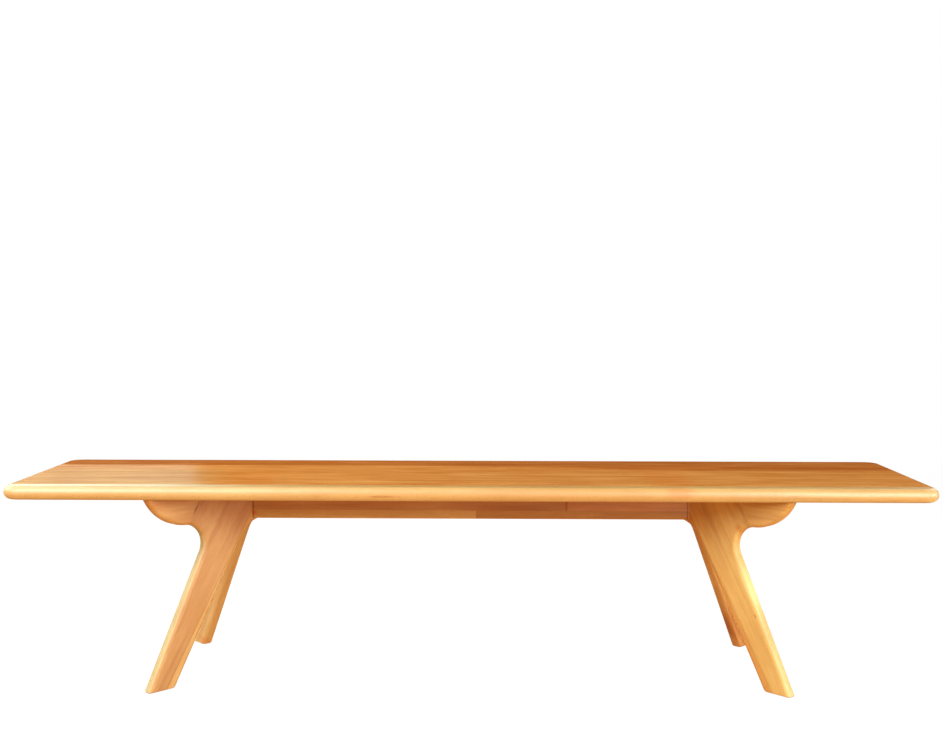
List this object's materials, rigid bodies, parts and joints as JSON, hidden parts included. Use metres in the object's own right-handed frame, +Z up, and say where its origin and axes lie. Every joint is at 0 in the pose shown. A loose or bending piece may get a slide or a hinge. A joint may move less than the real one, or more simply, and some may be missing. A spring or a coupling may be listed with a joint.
{
  "type": "table",
  "caption": "Long low solid-wood table with a round-edged board top, a central beam under it and flat splayed legs that fork at each end into curved bearers.",
  "frame": {"origin": "on the floor, under the middle of the top", "axes": "+X along the length, +Y from the front to the back, +Z up"},
  "size_m": [2, 0.45, 0.45],
  "materials": {
    "beech_top": "satin clear lacquer over steamed beech",
    "beech_beam": "satin clear lacquer over steamed beech",
    "beech_leg": "satin clear lacquer over steamed beech",
    "beech_bearer": "satin clear lacquer over steamed beech",
    "beech_joinery": "bare beech",
    "glide": "moulded nylon",
    "zinc_steel": "zinc plated",
    "brass": "turned"
  },
  "bodies": {
    "root": {"top_board_1": "beech_top", "top_board_2": "beech_top", "top_board_3": "beech_top", "top_board_4": "beech_top", "top_board_5": "beech_top", "top_board_6": "beech_top", "beam_lower_left_stave": "beech_beam", "beam_lower_right_stave": "beech_beam", "beam_middle_left_stave": "beech_beam", "beam_middle_right_stave": "beech_beam", "beam_upper_stave": "beech_beam", "leg_front_left": "beech_leg", "leg_front_right": "beech_leg", "leg_rear_left": "beech_leg", "leg_rear_right": "beech_leg", "bearer_front_left": "beech_bearer", "bearer_front_right": "beech_bearer", "bearer_rear_left": "beech_bearer", "bearer_rear_right": "beech_bearer", "glide_front_left": "glide", "glide_front_right": "glide", "glide_rear_left": "glide", "glide_rear_right": "glide", "bearer_dowels": "beech_joinery", "beam_tenons": "beech_joinery", "top_bolts": "zinc_steel", "top_washers": "zinc_steel", "top_inserts": "brass"}
  },
  "joints": []
}
